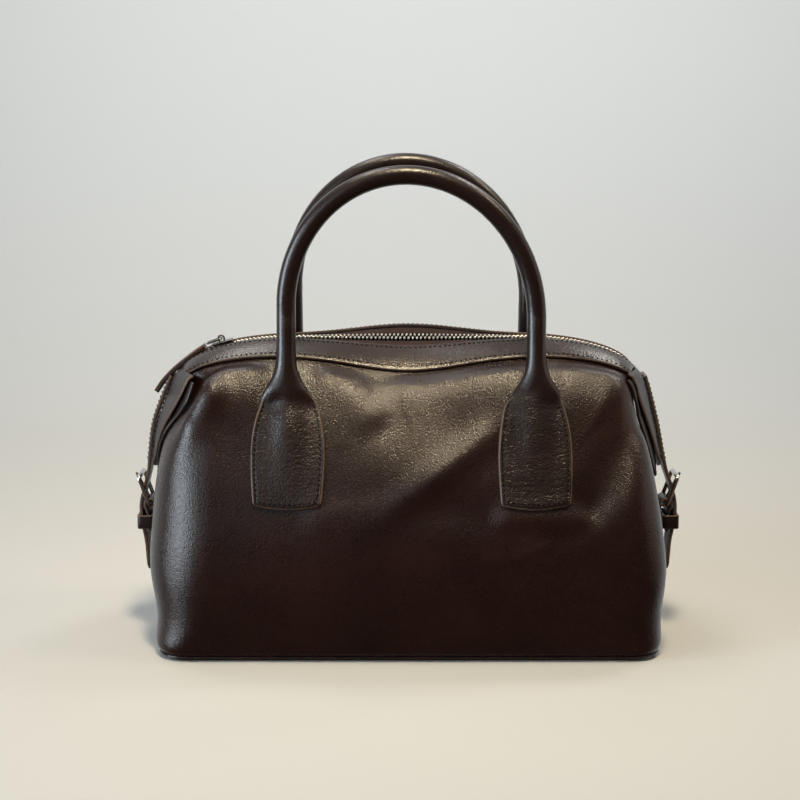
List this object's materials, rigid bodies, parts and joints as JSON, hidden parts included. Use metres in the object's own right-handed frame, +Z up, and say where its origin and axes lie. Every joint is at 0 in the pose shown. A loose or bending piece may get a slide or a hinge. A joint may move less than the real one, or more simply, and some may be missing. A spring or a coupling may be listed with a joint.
{
  "type": "handbag",
  "caption": "Soft brown leather bowling handbag with rolled handles, a zip between leather bands along the top and a buckled strap down each end, standing closed.",
  "frame": {"origin": "on the ground under the middle of the base", "axes": "+Z up, -Y towards the front that the picture shows, +X along the zip to the right as seen from the front"},
  "size_m": [0.3352, 0.1502, 0.291],
  "materials": {
    "leather": "semi-gloss fine-grained dark brown",
    "zip_tape": "matt woven",
    "zip_metal": "bright silver",
    "buckle_metal": "polished silver"
  },
  "bodies": {
    "bag": {"front_panel": "leather", "back_panel": "leather", "front_band": "leather", "back_band": "leather", "base_panel": "leather", "handle_front": "leather", "handle_back": "leather", "zip_tape_front": "zip_tape", "zip_tape_back": "zip_tape", "zip_chain": "zip_metal", "zip_chain_open": "zip_metal", "zip_slider": "zip_metal", "side_strap_left": "leather", "side_strap_right": "leather", "end_tongue_left": "leather", "end_tongue_right": "leather", "end_flap_left": "leather", "end_flap_right": "leather", "chape_left": "leather", "chape_right": "leather", "keeper_left": "leather", "keeper_right": "leather", "buckle_left": "buckle_metal", "buckle_right": "buckle_metal", "prong_left": "buckle_metal", "prong_right": "buckle_metal"},
    "zip_pull": {"zip_puller": "zip_metal", "zip_pull_tab": "leather"}
  },
  "joints": [
    {"name": "zip_pull_swing", "type": "hinge", "parent": "bag", "child": "zip_pull", "pos_m": [-0.11322, 0, 0.18091], "axis": [0, 1, 0], "range_deg": [0, 170]}
  ]
}
